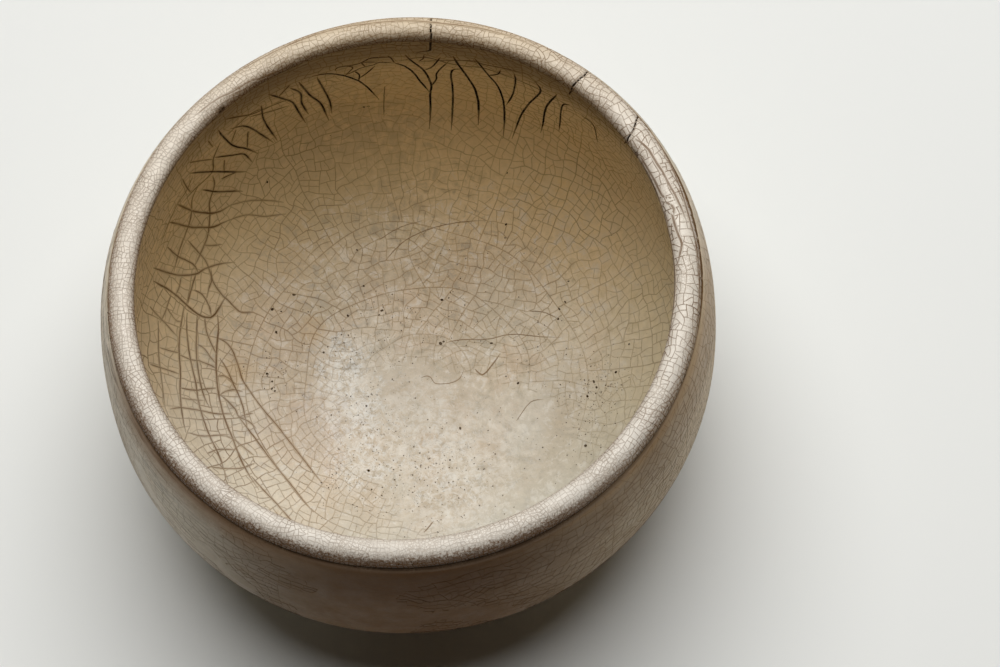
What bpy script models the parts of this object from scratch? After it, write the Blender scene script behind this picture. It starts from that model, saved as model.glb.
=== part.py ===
"""Cracked bowl: one thrown and glazed stoneware pot, with an incurved shoulder, a rolled lip,
three cracks through the lip, two small chips and a fan of open crazing down the inside wall.

Metres, +Z up. The origin is the middle of the foot, on the surface that the bowl stands on.
Azimuth is counted from +X towards +Y. The most cracked part of the wall is on the +Y side.
"""

import math

import bmesh
import bpy
from mathutils import Vector

# Radii of the outside
BELLY_RADIUS = 0.1003
LIP_EDGE_RADIUS = 0.0947
LIP_CREST_RADIUS = 0.0898
LIP_WIDTH = 0.0087
BASE_RADIUS = 0.043
FOOT_RADIUS = 0.050

# Heights of the outside, and how far below the lip the hollow is widest
LIP_TO_BELLY = 0.051
BELLY_TO_BASE = 0.0563
LIP_TO_WIDEST_HOLLOW = 0.0603
FOOT_HEIGHT = 0.006
LIP_EDGE_DROP = 0.0053
CREASE_DEPTH = 0.0004

# The wall, and how the lip rolls in over the hollow
WALL = 0.0074
FLOOR_THICKNESS = 0.008
FLOOR_DISH = 0.0015
LIP_OVERHANG = 0.0018
MOUTH_DROP = 0.0035
ROLL_HEIGHT = 0.0028
FOOT_WIDTH = 0.009
FOOT_FILLET = 0.0025
FOOT_EDGE = 0.0008

# The pot was turned by hand: its long radius is this much over the mean, on this azimuth
OUT_OF_ROUND = 0.0008
LONG_AZIMUTH = 27.0

# Fineness of the turned surface
TURN_STEPS = 72
SHOULDER_STEPS = 6
BELLY_STEPS = 8
FLOOR_STEPS = 3
LIP_STEPS = 4
ROLL_STEPS = 3
FILLET_STEPS = 2

# Cracks through the lip: (azimuth in degrees, distance in metres out from the mouth)
LIP_CRACK_DEPTH = 0.0065
LIP_CRACK_WIDTH = 0.0007
LIP_CRACKS = {
    "lip_crack_far": ((84.7, -0.004), (84.8, 0.001), (85.0, 0.004), (85.2, 0.008), (85.2, 0.012)),
    "lip_crack_middle": ((51.6, -0.004), (51.2, 0.0), (50.9, 0.002), (50.5, 0.006), (51.3, 0.012)),
    "lip_crack_right": ((34.8, -0.004), (34.0, 0.001), (34.6, 0.004), (35.6, 0.006), (38.6, 0.012)),
}

# Chips on the lip's inner edge: (azimuth in degrees, radius of the bite, how deep it bites)
CHIPS = {
    "chip_right": (30.4, 0.0016, 0.0007),
    "chip_left": (134.4, 0.0018, 0.0008),
}

# Open crazing on the inside wall: points as (azimuth in degrees, millimetres down the wall from the mouth)
CRAZE_WIDTH = 0.0007
CRAZE_POINT_SPACING = 0.007
CRAZING = {
    "fork_trunk": ((91, 12), (87, 39), (86, 52), (87, 76)),
    "fork_left_arm": ((97, 16), (92, 35), (87, 58)),
    "fork_right_arm": ((81, 18), (84, 39), (86, 51)),
    "long_left": ((109, 16), (101, 43), (98, 61)),
    "straight": ((80, 14), (82, 41), (82, 76)),
    "split_left": ((79, 20), (77, 52), (76, 73)),
    "hooked": ((75, 14), (71, 46), (70, 75)),
    "hook_arm": ((67, 16), (68, 46), (71, 60)),
    "curved_right": ((63, 18), (65, 51), (68, 75)),
    "right_second": ((58, 16), (61, 48), (62, 67)),
    "right_last": ((54, 22), (57, 39), (58, 61)),
    "left_first": ((112, 24), (109, 42), (108, 63)),
    "left_second": ((115, 18), (112, 44), (109, 66)),
    "left_third": ((118, 22), (114, 48), (113, 60)),
    "left_fourth": ((122, 16), (116, 44), (114, 63)),
    "left_fifth": ((125, 24), (122, 57), (121, 66)),
    "left_sixth": ((131, 18), (128, 40), (122, 65)),
    "left_seventh": ((136, 20), (131, 50), (126, 66)),
    "left_eighth": ((138, 42), (132, 56), (128, 68)),
    "left_ninth": ((144, 34), (138, 54), (130, 70)),
    "left_tenth": ((142, 60), (138, 69), (133, 76)),
    "side_first": ((149, 48), (143, 73), (131, 84)),
    "side_second": ((153, 52), (146, 73), (139, 82)),
    "side_third": ((162, 60), (157, 79), (149, 90)),
    "side_fourth": ((164, 64), (162, 83), (158, 97)),
    "ring_upper": ((163, 85), (181, 90), (195, 89)),
    "ring_middle": ((167, 92), (186, 96), (200, 98)),
    "ring_lower": ((163, 101), (183, 103), (201, 106)),
}

CUTTER_MARGIN = 0.004
MERGE_DISTANCE = 0.00001

BASE_Z = FOOT_HEIGHT
BELLY_Z = BASE_Z + BELLY_TO_BASE
CREST_Z = BELLY_Z + LIP_TO_BELLY
WIDEST_HOLLOW_Z = CREST_Z - LIP_TO_WIDEST_HOLLOW
MOUTH_RADIUS = LIP_EDGE_RADIUS - LIP_WIDTH
MOUTH_Z = CREST_Z - MOUTH_DROP


def clear_scene():
    for old in list(bpy.data.objects):
        bpy.data.objects.remove(old)


def quarter(start, end, steps, leaves):
    """Points after start on a quarter of an ellipse to end, which leaves start level or upright."""
    points = []
    for i in range(1, steps + 1):
        turn = math.pi / 2 * i / steps
        across, along = math.sin(turn), 1 - math.cos(turn)
        if leaves == "upright":
            across, along = along, across
        r = start[0] + (end[0] - start[0]) * across
        z = start[1] + (end[1] - start[1]) * along
        points.append((r, z))
    return points


def belly_height(r):
    """Height of the outside where the belly's curve has a radius."""
    reach = (r - BASE_RADIUS) / (BELLY_RADIUS - BASE_RADIUS)
    return BELLY_Z - BELLY_TO_BASE * math.sqrt(1 - reach ** 2)


def inside_section():
    """(radius, height) from the mouth, where the lip is narrowest, down the wall to the floor's middle."""
    points = [(MOUTH_RADIUS, MOUTH_Z)]
    under_lip = (MOUTH_RADIUS + LIP_OVERHANG, MOUTH_Z - ROLL_HEIGHT)
    points += quarter(points[-1], under_lip, ROLL_STEPS, "upright")
    points += quarter(points[-1], (BELLY_RADIUS - WALL, WIDEST_HOLLOW_Z), SHOULDER_STEPS, "level")
    floor_z = BASE_Z + FLOOR_THICKNESS
    points += quarter(points[-1], (BASE_RADIUS, floor_z), BELLY_STEPS, "upright")
    for i in range(1, FLOOR_STEPS + 1):
        out = 1 - i / FLOOR_STEPS
        sink = FLOOR_DISH * (1 + math.cos(math.pi * out)) / 2
        points.append((BASE_RADIUS * out, floor_z - sink))
    return points


def outside_section():
    """(radius, height) from the mouth over the lip and down the outside to the middle of the base."""
    points = [(MOUTH_RADIUS, MOUTH_Z)]
    points += quarter(points[-1], (LIP_CREST_RADIUS, CREST_Z), ROLL_STEPS, "upright")
    edge = (LIP_EDGE_RADIUS, CREST_Z - LIP_EDGE_DROP)
    points += quarter(points[-1], edge, LIP_STEPS, "level")
    points.append((edge[0] - CREASE_DEPTH, edge[1] - CREASE_DEPTH))
    points += quarter(points[-1], (BELLY_RADIUS, BELLY_Z), SHOULDER_STEPS, "level")
    foot_joint = FOOT_RADIUS + FOOT_FILLET
    for r, z in quarter(points[-1], (BASE_RADIUS, BASE_Z), BELLY_STEPS, "upright"):
        if r > foot_joint + FOOT_EDGE:
            points.append((r, z))
    points.append((foot_joint, belly_height(foot_joint)))
    points += quarter(points[-1], (FOOT_RADIUS, points[-1][1] - FOOT_FILLET), FILLET_STEPS, "level")
    points.append((FOOT_RADIUS, FOOT_EDGE))
    points.append((FOOT_RADIUS - FOOT_EDGE, 0))
    inner_foot = FOOT_RADIUS - FOOT_WIDTH
    points.append((inner_foot + FOOT_EDGE, 0))
    points.append((inner_foot, FOOT_EDGE))
    points.append((inner_foot, BASE_Z - FOOT_FILLET))
    points += quarter(points[-1], (inner_foot - FOOT_FILLET, BASE_Z), FILLET_STEPS, "upright")
    points.append((0, BASE_Z))
    return points


def roundness(azimuth):
    """How far the hand-turned pot is from a circle at an azimuth in radians, as a factor on its radius."""
    return 1 + OUT_OF_ROUND / LIP_EDGE_RADIUS * math.cos(2 * (azimuth - math.radians(LONG_AZIMUTH)))


def place(azimuth_degrees, r, z):
    azimuth = math.radians(azimuth_degrees)
    r *= roundness(azimuth)
    return Vector((r * math.cos(azimuth), r * math.sin(azimuth), z))


def on_wall(azimuth_degrees, down):
    """The point of the inside wall that lies a distance down it from the mouth."""
    section = inside_section()
    for start, end in zip(section, section[1:]):
        length = math.dist(start, end)
        if down <= length:
            share = down / length
            r = start[0] + (end[0] - start[0]) * share
            z = start[1] + (end[1] - start[1]) * share
            return place(azimuth_degrees, r, z)
        down -= length
    return place(azimuth_degrees, *section[-1])


def stoneware():
    material = bpy.data.materials.new("glazed_stoneware")
    material.use_nodes = True
    shader = material.node_tree.nodes["Principled BSDF"]
    shader.inputs["Base Color"].default_value = (0.52, 0.44, 0.33, 1)
    shader.inputs["Roughness"].default_value = 0.42
    shader.inputs["Metallic"].default_value = 0.0
    return material


def evaluated_mesh(obj):
    bpy.context.view_layer.update()
    return bpy.data.meshes.new_from_object(obj.evaluated_get(bpy.context.evaluated_depsgraph_get()))


def turned_bowl(collection):
    """The whole pot turned about Z from one section, then eased out of round."""
    section = list(reversed(inside_section())) + outside_section()[1:]
    outline = bmesh.new()
    corners = [outline.verts.new((r, 0, z)) for r, z in section]
    for a, b in zip(corners, corners[1:]):
        outline.edges.new((a, b))
    mesh = bpy.data.meshes.new("bowl")
    outline.to_mesh(mesh)
    outline.free()
    bowl = bpy.data.objects.new("bowl", mesh)
    collection.objects.link(bowl)
    turn = bowl.modifiers.new("turned", "SCREW")
    turn.steps = TURN_STEPS
    turn.render_steps = TURN_STEPS
    turn.use_merge_vertices = True
    turn.merge_threshold = MERGE_DISTANCE
    bowl.data = evaluated_mesh(bowl)
    bowl.modifiers.remove(turn)
    for vertex in bowl.data.vertices:
        factor = roundness(math.atan2(vertex.co.y, vertex.co.x))
        vertex.co.x *= factor
        vertex.co.y *= factor
    bowl.data.shade_smooth()
    bowl.data.set_sharp_from_angle(angle=math.radians(40))
    return bowl


def hide(cutter):
    cutter.hide_render = True
    cutter.display_type = "WIRE"


def lip_crack_cutter(name, points, collection):
    """A thin blade that follows the crack across the lip and stands down into it."""
    blade = bmesh.new()
    foot_z = CREST_Z - LIP_CRACK_DEPTH
    path = [blade.verts.new(place(azimuth, MOUTH_RADIUS + out, foot_z)) for azimuth, out in points]
    edges = [blade.edges.new(pair) for pair in zip(path, path[1:])]
    raised = bmesh.ops.extrude_edge_only(blade, edges=edges)["geom"]
    tops = [part for part in raised if isinstance(part, bmesh.types.BMVert)]
    bmesh.ops.translate(blade, verts=tops, vec=(0, 0, LIP_CRACK_DEPTH + CUTTER_MARGIN))
    mesh = bpy.data.meshes.new(name)
    blade.to_mesh(mesh)
    blade.free()
    cutter = bpy.data.objects.new(name, mesh)
    collection.objects.link(cutter)
    thicken = cutter.modifiers.new("width", "SOLIDIFY")
    thicken.thickness = LIP_CRACK_WIDTH
    thicken.offset = 0
    hide(cutter)
    return cutter


def chip_cutter(name, azimuth, bite, depth, collection):
    """A ball that bites the lip's inner edge."""
    ball = bmesh.new()
    bmesh.ops.create_icosphere(ball, subdivisions=2, radius=bite)
    mesh = bpy.data.meshes.new(name)
    ball.to_mesh(mesh)
    ball.free()
    cutter = bpy.data.objects.new(name, mesh)
    cutter.location = place(azimuth, MOUTH_RADIUS - bite + depth, MOUTH_Z)
    collection.objects.link(cutter)
    hide(cutter)
    return cutter


def craze_route(points):
    """Points along one line of crazing on the wall, close enough to follow its curve."""
    route = []
    for (azimuth, down), (next_azimuth, next_down) in zip(points, points[1:]):
        start, end = on_wall(azimuth, down / 1000), on_wall(next_azimuth, next_down / 1000)
        pieces = max(1, round((end - start).length / CRAZE_POINT_SPACING))
        for i in range(pieces):
            share = i / pieces
            route.append((azimuth + (next_azimuth - azimuth) * share, down + (next_down - down) * share))
    route.append(points[-1])
    return [on_wall(azimuth, down / 1000) for azimuth, down in route]


def craze_cutter(name, points, collection):
    """A four-sided wire along the wall, whose inner half leaves a groove that narrows at both ends."""
    route = craze_route(points)
    curve = bpy.data.curves.new(name, "CURVE")
    curve.dimensions = "3D"
    curve.bevel_depth = CRAZE_WIDTH / 2
    curve.bevel_resolution = 0
    curve.use_fill_caps = True
    spline = curve.splines.new("POLY")
    spline.points.add(len(route) - 1)
    for i, (point, where) in enumerate(zip(spline.points, route)):
        point.co = (*where, 1)
        point.radius = 0.6 if i in (0, len(route) - 1) else 1
    wire = bpy.data.objects.new(name + "_wire", curve)
    collection.objects.link(wire)
    mesh = evaluated_mesh(wire)
    bpy.data.objects.remove(wire)
    closed = bmesh.new()
    closed.from_mesh(mesh)
    bmesh.ops.remove_doubles(closed, verts=closed.verts, dist=MERGE_DISTANCE)
    bmesh.ops.recalc_face_normals(closed, faces=closed.faces)
    closed.to_mesh(mesh)
    closed.free()
    cutter = bpy.data.objects.new(name, mesh)
    collection.objects.link(cutter)
    hide(cutter)
    return cutter


def cut(bowl, cutter):
    taken = bowl.modifiers.new(cutter.name, "BOOLEAN")
    taken.operation = "DIFFERENCE"
    taken.solver = "EXACT"
    taken.object = cutter


def main():
    clear_scene()
    parts = bpy.data.collections.new("cracked_bowl")
    cutters = bpy.data.collections.new("cutters")
    bpy.context.scene.collection.children.link(parts)
    bpy.context.scene.collection.children.link(cutters)
    bowl = turned_bowl(parts)
    bowl.data.materials.append(stoneware())
    for name, points in LIP_CRACKS.items():
        cut(bowl, lip_crack_cutter(name, points, cutters))
    for name, (azimuth, bite, depth) in CHIPS.items():
        cut(bowl, chip_cutter(name, azimuth, bite, depth, cutters))
    for name, points in CRAZING.items():
        cut(bowl, craze_cutter("craze_" + name, points, cutters))


main()
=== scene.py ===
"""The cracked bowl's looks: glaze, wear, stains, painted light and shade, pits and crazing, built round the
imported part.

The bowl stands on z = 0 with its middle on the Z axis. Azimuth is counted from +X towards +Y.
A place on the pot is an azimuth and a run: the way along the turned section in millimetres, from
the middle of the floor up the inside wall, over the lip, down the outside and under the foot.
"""

import cmath
import math
import random

import bmesh
import bpy
import numpy as np
from mathutils import Euler, Matrix, Vector, noise


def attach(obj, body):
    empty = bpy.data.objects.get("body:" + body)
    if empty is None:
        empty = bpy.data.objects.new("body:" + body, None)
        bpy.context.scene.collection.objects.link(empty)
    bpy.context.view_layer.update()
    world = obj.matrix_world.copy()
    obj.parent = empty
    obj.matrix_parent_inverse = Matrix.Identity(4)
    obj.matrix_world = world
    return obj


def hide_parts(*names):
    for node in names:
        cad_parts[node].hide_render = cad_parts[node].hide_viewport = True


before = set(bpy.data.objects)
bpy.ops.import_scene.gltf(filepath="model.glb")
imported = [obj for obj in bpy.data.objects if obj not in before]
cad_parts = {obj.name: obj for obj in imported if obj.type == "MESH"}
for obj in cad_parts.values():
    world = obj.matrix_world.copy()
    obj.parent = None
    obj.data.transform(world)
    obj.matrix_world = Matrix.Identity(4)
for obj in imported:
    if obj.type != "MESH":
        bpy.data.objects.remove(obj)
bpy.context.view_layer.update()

# The turned section, in millimetres, as the part has it
BELLY_RADIUS = 100.3
LIP_EDGE_RADIUS = 94.7
LIP_CREST_RADIUS = 89.8
LIP_WIDTH = 8.7
BASE_RADIUS = 43.0
FOOT_RADIUS = 50.0
LIP_TO_BELLY = 51.0
BELLY_TO_BASE = 56.3
LIP_TO_WIDEST_HOLLOW = 60.3
FOOT_HEIGHT = 6.0
LIP_EDGE_DROP = 5.3
CREASE_DEPTH = 0.4
WALL = 7.4
FLOOR_THICKNESS = 8.0
FLOOR_DISH = 1.5
LIP_OVERHANG = 1.8
MOUTH_DROP = 3.5
ROLL_HEIGHT = 2.8
FOOT_WIDTH = 9.0
FOOT_FILLET = 2.5
FOOT_EDGE = 0.8
OUT_OF_ROUND = 0.8
LONG_AZIMUTH = 27.0

MM = 0.001
BASE_Z = FOOT_HEIGHT
BELLY_Z = BASE_Z + BELLY_TO_BASE
CREST_Z = BELLY_Z + LIP_TO_BELLY
WIDEST_HOLLOW_Z = CREST_Z - LIP_TO_WIDEST_HOLLOW
MOUTH_RADIUS = LIP_EDGE_RADIUS - LIP_WIDTH
MOUTH_Z = CREST_Z - MOUTH_DROP

# Fineness of the glazed surface
TURN_STEPS = 256
SECTION_STEP = 1.7

# The photograph's frame and its camera, fitted to the outlines of the lip and the body
FRAME_WIDTH, FRAME_HEIGHT = 1000, 667
LENS_PIXELS = 4000.0
LIP_PIXELS = 290.98
LIP_LINE_RADIUS = 93.0
LIP_LINE_HEIGHT = CREST_Z - 1.9
LIP_CENTRE_PIXEL = (403.8, 282.7)
ELEVATION = math.radians(69.51)
LEAN = math.radians(-3.87)
SENSOR_WIDTH = 36.0


# The section and places on the pot

def quarter(start, end, leaves):
    """Points after start on a quarter of an ellipse to end, which leaves start level or upright."""
    steps = max(4, round(math.dist(start, end) / SECTION_STEP))
    points = []
    for i in range(1, steps + 1):
        turn = math.pi / 2 * i / steps
        across, along = math.sin(turn), 1 - math.cos(turn)
        if leaves == "upright":
            across, along = along, across
        points.append((start[0] + (end[0] - start[0]) * across, start[1] + (end[1] - start[1]) * along))
    return points


def straight(start, end):
    steps = max(1, round(math.dist(start, end) / SECTION_STEP))
    return [(start[0] + (end[0] - start[0]) * i / steps, start[1] + (end[1] - start[1]) * i / steps)
            for i in range(1, steps + 1)]


def belly_height(r):
    reach = (r - BASE_RADIUS) / (BELLY_RADIUS - BASE_RADIUS)
    return BELLY_Z - BELLY_TO_BASE * math.sqrt(1 - reach ** 2)


def inside_section():
    """(radius, height) from the mouth, where the lip is narrowest, down to the floor's middle."""
    points = [(MOUTH_RADIUS, MOUTH_Z)]
    points += quarter(points[-1], (MOUTH_RADIUS + LIP_OVERHANG, MOUTH_Z - ROLL_HEIGHT), "upright")
    points += quarter(points[-1], (BELLY_RADIUS - WALL, WIDEST_HOLLOW_Z), "level")
    floor_z = BASE_Z + FLOOR_THICKNESS
    points += quarter(points[-1], (BASE_RADIUS, floor_z), "upright")
    steps = round(BASE_RADIUS / SECTION_STEP / 1.5)
    for i in range(1, steps + 1):
        out = 1 - i / steps
        points.append((BASE_RADIUS * out, floor_z - FLOOR_DISH * (1 + math.cos(math.pi * out)) / 2))
    return points


def outside_section():
    """(radius, height) from the mouth over the lip and down the outside to the base's middle."""
    points = [(MOUTH_RADIUS, MOUTH_Z)]
    points += quarter(points[-1], (LIP_CREST_RADIUS, CREST_Z), "upright")
    points += quarter(points[-1], (LIP_EDGE_RADIUS, CREST_Z - LIP_EDGE_DROP), "level")
    points.append((points[-1][0] - CREASE_DEPTH, points[-1][1] - CREASE_DEPTH))
    points += quarter(points[-1], (BELLY_RADIUS, BELLY_Z), "level")
    joint = FOOT_RADIUS + FOOT_FILLET
    points += [p for p in quarter(points[-1], (BASE_RADIUS, BASE_Z), "upright") if p[0] > joint + FOOT_EDGE]
    points.append((joint, belly_height(joint)))
    points += quarter(points[-1], (FOOT_RADIUS, points[-1][1] - FOOT_FILLET), "level")
    inner_foot = FOOT_RADIUS - FOOT_WIDTH
    for corner in ((FOOT_RADIUS, FOOT_EDGE), (FOOT_RADIUS - FOOT_EDGE, 0), (inner_foot + FOOT_EDGE, 0),
                   (inner_foot, FOOT_EDGE), (inner_foot, BASE_Z - FOOT_FILLET)):
        points += straight(points[-1], corner)
    points += quarter(points[-1], (inner_foot - FOOT_FILLET, BASE_Z), "upright")
    points += straight(points[-1], (0, BASE_Z))
    return points


INSIDE = inside_section()
SECTION = np.array(INSIDE[::-1] + outside_section()[1:])
STEPS_ALONG = np.hypot(*np.diff(SECTION, axis=0).T)
RUN = np.concatenate([[0], np.cumsum(STEPS_ALONG)])
MOUTH_RUN = float(RUN[len(INSIDE) - 1])
CREST_RUN = float(RUN[int(np.argmax(SECTION[:, 1]))])
CREASE_RUN = float(RUN[int(np.argmax((RUN > CREST_RUN) & (SECTION[:, 1] < CREST_Z - LIP_EDGE_DROP - 0.1)))])
BELLY_RUN = float(RUN[int(np.argmax(SECTION[:, 0]))])
FOOT_RUN = float(RUN[int(np.argmax((RUN > BELLY_RUN) & (SECTION[:, 0] < FOOT_RADIUS + 0.01)))])
WAY = np.gradient(SECTION, RUN, axis=0)
WAY /= np.hypot(WAY[:, 0], WAY[:, 1])[:, None]
HALF_MILLIMETRES = np.arange(0, RUN[-1], 0.5)
RADIUS_TABLE = [float(v) for v in np.interp(HALF_MILLIMETRES, RUN, SECTION[:, 0])]
HEIGHT_TABLE = [float(v) for v in np.interp(HALF_MILLIMETRES, RUN, SECTION[:, 1])]


def radius_at(run):
    return RADIUS_TABLE[min(int(run * 2), len(RADIUS_TABLE) - 1)]


def on_pot(azimuth, run, lift=0.0):
    """Places in metres on the pot's surface, lifted off it, and the outward directions there."""
    azimuth = np.asarray(azimuth, float)
    across, up = np.interp(run, RUN, WAY[:, 0]), np.interp(run, RUN, WAY[:, 1])
    size = np.hypot(across, up)
    out_r, out_z = -up / size, across / size
    r = np.interp(run, RUN, SECTION[:, 0])
    z = np.interp(run, RUN, SECTION[:, 1])
    r = r * (1 + OUT_OF_ROUND / LIP_EDGE_RADIUS * np.cos(2 * (azimuth - math.radians(LONG_AZIMUTH))))
    r, z = r + lift * out_r, z + lift * out_z
    c, s = np.cos(azimuth), np.sin(azimuth)
    places = np.stack([r * c, r * s, z], -1) * MM
    outward = np.stack([out_r * c, out_r * s, out_z], -1)
    return places, outward


def as_mesh(name, shape):
    mesh = bpy.data.meshes.new(name)
    shape.to_mesh(mesh)
    shape.free()
    return mesh


def corners_of(raised):
    """The corners among what an extrusion made."""
    return [part for part in raised["geom"] if isinstance(part, bmesh.types.BMVert)]


def new_piece(name, mesh, *materials):
    piece = bpy.data.objects.new(name, mesh)
    bpy.context.scene.collection.objects.link(piece)
    for material in materials:
        mesh.materials.append(material)
    return piece


# Camera and stage

ROOM_COLOUR = (1.0, 0.84, 0.66, 1)
ROOM_STRENGTH = 0.018
WINDOW_PLACE = (0.01, 0.79, 2.05)
WINDOW_SIZE = 2.3
WINDOW_WATTS = 62
WINDOW_COLOUR = (1.0, 0.995, 0.98)
FLOOR_HALF_WIDTH = 3.0
FLOOR_PAINT = (0.80, 0.81, 0.795, 1)


def camera():
    """Looks at the bowl as the photograph does: a long lens, high on the -Y side, leaning a little."""
    distance = LENS_PIXELS / LIP_PIXELS * LIP_LINE_RADIUS
    shift_x = (LIP_CENTRE_PIXEL[0] - FRAME_WIDTH / 2) / LENS_PIXELS * distance
    shift_y = (LIP_CENTRE_PIXEL[1] - FRAME_HEIGHT / 2) / LENS_PIXELS * distance
    bowl_in_view = Vector((shift_x, -shift_y, -distance))
    up_in_view = Vector((math.sin(LEAN) * math.cos(ELEVATION), math.cos(LEAN) * math.cos(ELEVATION),
                         math.sin(ELEVATION)))
    right_in_view = (Vector((1, 0, 0)) - up_in_view.x * up_in_view).normalized()
    away_in_view = up_in_view.cross(right_in_view)
    turn = Matrix((right_in_view, away_in_view, up_in_view))
    place = turn @ -bowl_in_view + Vector((0, 0, LIP_LINE_HEIGHT))
    data = bpy.data.cameras.new("camera")
    data.sensor_width = SENSOR_WIDTH
    data.lens = LENS_PIXELS * SENSOR_WIDTH / FRAME_WIDTH
    data.clip_end = 20
    eye = bpy.data.objects.new("camera", data)
    eye.matrix_world = Matrix.Translation(place * MM) @ turn.to_4x4()
    bpy.context.scene.collection.objects.link(eye)
    bpy.context.scene.camera = eye


def lamp(name, place, aim, size, watts, colour):
    data = bpy.data.lights.new(name, "AREA")
    data.shape = "DISK"
    data.size = size
    data.energy = watts
    data.color = colour
    light = bpy.data.objects.new(name, data)
    light.location = place
    light.rotation_euler = (Vector(aim) - Vector(place)).to_track_quat("-Z", "Y").to_euler()
    bpy.context.scene.collection.objects.link(light)


def stage():
    """A plain pale floor, a large soft light from behind the bowl and a dim room."""
    world = bpy.data.worlds.new("room")
    bpy.context.scene.world = world
    world.use_nodes = True
    air = world.node_tree.nodes["Background"]
    air.inputs["Color"].default_value = ROOM_COLOUR
    air.inputs["Strength"].default_value = ROOM_STRENGTH
    lamp("window", WINDOW_PLACE, (0, 0, 0), WINDOW_SIZE, WINDOW_WATTS, WINDOW_COLOUR)
    floor = bmesh.new()
    bmesh.ops.create_grid(floor, x_segments=1, y_segments=1, size=FLOOR_HALF_WIDTH)
    mesh = as_mesh("floor", floor)
    paint, shader = start_material("pale_floor")
    fill(shader, {"Base Color": FLOOR_PAINT, "Roughness": 0.8, "Specular IOR Level": 0.2})
    new_piece("floor", mesh, paint)


# Glaze colours and the nodes that spread them over the pot

def start_material(name):
    """A new material and its shader. The functions below add to its node tree from here on."""
    global TREE
    material = bpy.data.materials.new(name)
    material.use_nodes = True
    TREE = material.node_tree
    return material, TREE.nodes["Principled BSDF"]


def fill(node, values):
    """Sets a node's sockets to values, or wires them to other sockets."""
    for key, value in values.items():
        if isinstance(value, bpy.types.NodeSocket):
            TREE.links.new(value, node.inputs[key])
        else:
            node.inputs[key].default_value = value


def add(kind, values=None, **settings):
    """A node with its settings and its sockets."""
    made = TREE.nodes.new("ShaderNode" + kind)
    for key, value in settings.items():
        setattr(made, key, value)
    fill(made, values or {})
    return made


def rgb(r, g, b):
    return (r, g, b, 1.0)


def soft_step(value, low, high):
    """0 below low, 1 above high, and smooth between them. High may be the lower one."""
    ends = {"Value": value, "From Min": low, "From Max": high}
    return add("MapRange", ends, interpolation_type="SMOOTHSTEP").outputs["Result"]


def times(first, *others):
    for other in others:
        first = add("Math", {0: first, 1: other}, operation="MULTIPLY").outputs[0]
    return first


def plus(a, b):
    return add("Math", {0: a, 1: b}, operation="ADD").outputs[0]


def remap(value, low, high, at_low, at_high):
    """at_low where the value is low or past it, at_high where it is high or past it, straight between."""
    ends = {"Value": value, "From Min": low, "From Max": high, "To Min": at_low, "To Max": at_high}
    return add("MapRange", ends).outputs["Result"]


def all_of(*steps):
    """The product of soft steps, each given as (value, low, high)."""
    return times(*(soft_step(*step) for step in steps))


def towards(where, direction):
    return add("VectorMath", {0: where, 1: direction}, operation="DOT_PRODUCT").outputs["Value"]


def mix(share, under, over, mode="MIX"):
    """Colour over laid on colour under by a share, on the colour sockets of a Mix node."""
    made = add("Mix", data_type="RGBA", blend_type=mode)
    first, second = [i for i, socket in enumerate(made.inputs) if socket.type == "RGBA"]
    fill(made, {0: share, first: under, second: over})
    return next(s for s in made.outputs if s.type == "RGBA")


def grain(where, scale, detail=2.0, roughness=0.5, warp=0.0):
    """Noise between about 0.3 and 0.7, scale counting its waves per metre."""
    settings = {"Vector": where, "Scale": scale, "Detail": detail, "Roughness": roughness, "Distortion": warp}
    return add("TexNoise", settings).outputs["Fac"]


def spot(where, azimuth, run, radius, ragged):
    """A soft-edged patch round a place on the pot, its edge broken by noise."""
    centre = on_pot(math.radians(azimuth), run)[0]
    offset = add("VectorMath", {0: where, 1: tuple(centre)}, operation="SUBTRACT").outputs[0]
    reach = add("VectorMath", {0: offset}, operation="LENGTH").outputs["Value"]
    ragged_reach = plus(times(ragged, radius * MM * 1.2), reach)
    return soft_step(ragged_reach, radius * MM * 1.75, radius * MM * 0.55)


FLOOR_TAN = rgb(0.44, 0.345, 0.235)
FLOOR_CREAM = rgb(0.52, 0.44, 0.33)
GLAZE_PINK = rgb(0.51, 0.385, 0.265)
GLAZE_GREY = rgb(0.42, 0.37, 0.28)
WALL_TAN = rgb(0.76, 0.595, 0.37)
LEFT_WALL_TAN = rgb(0.74, 0.60, 0.41)
NEAR_WALL_CREAM = rgb(0.56, 0.53, 0.45)
LIP_WHITE = rgb(0.75, 0.69, 0.61)
FAR_LIP_TAN = rgb(0.60, 0.50, 0.37)
LIP_BROWN = rgb(0.26, 0.135, 0.050)
# Brown on the near lip's outer edge: partly dirt, partly painted shade where it turns from the lamp
NEAR_EDGE_DIRT_AND_SHADE = rgb(0.145, 0.070, 0.026)
WORN_AND_SHEEN_PALE = rgb(0.68, 0.655, 0.60)
SPECKLE_GREY = rgb(0.30, 0.27, 0.21)
OCHRE = rgb(0.52, 0.34, 0.15)
OUTSIDE_GREY = rgb(0.56, 0.49, 0.385)
OUTSIDE_TAN = rgb(0.47, 0.385, 0.275)
# Paler sides of the outside: painted light where the lamp behind reaches them
SIDE_PAINTED_LIGHT = rgb(0.76, 0.68, 0.56)
# Dark brown outside towards the viewer: partly dirt, partly painted shade on the side away from the lamp
NEAR_OUTSIDE_DIRT_AND_SHADE = rgb(0.130, 0.062, 0.020)
# Dark line in the crease under the lip: painted shade
CREASE_PAINTED_SHADE = rgb(0.065, 0.04, 0.022)
# Brown under the far lip: partly stain, partly painted shade under the lip's inward roll
FAR_STAIN_AND_SHADE = rgb(0.22, 0.13, 0.05)
STREAK_DARK = rgb(0.12, 0.105, 0.085)
DIRT_BROWN = rgb(0.13, 0.058, 0.012)
DIRT_BLACK = rgb(0.021, 0.010, 0.003)
GOLDEN_BROWN = rgb(0.40, 0.25, 0.11)
LIP_NET_BROWN = rgb(0.33, 0.24, 0.16)
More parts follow.
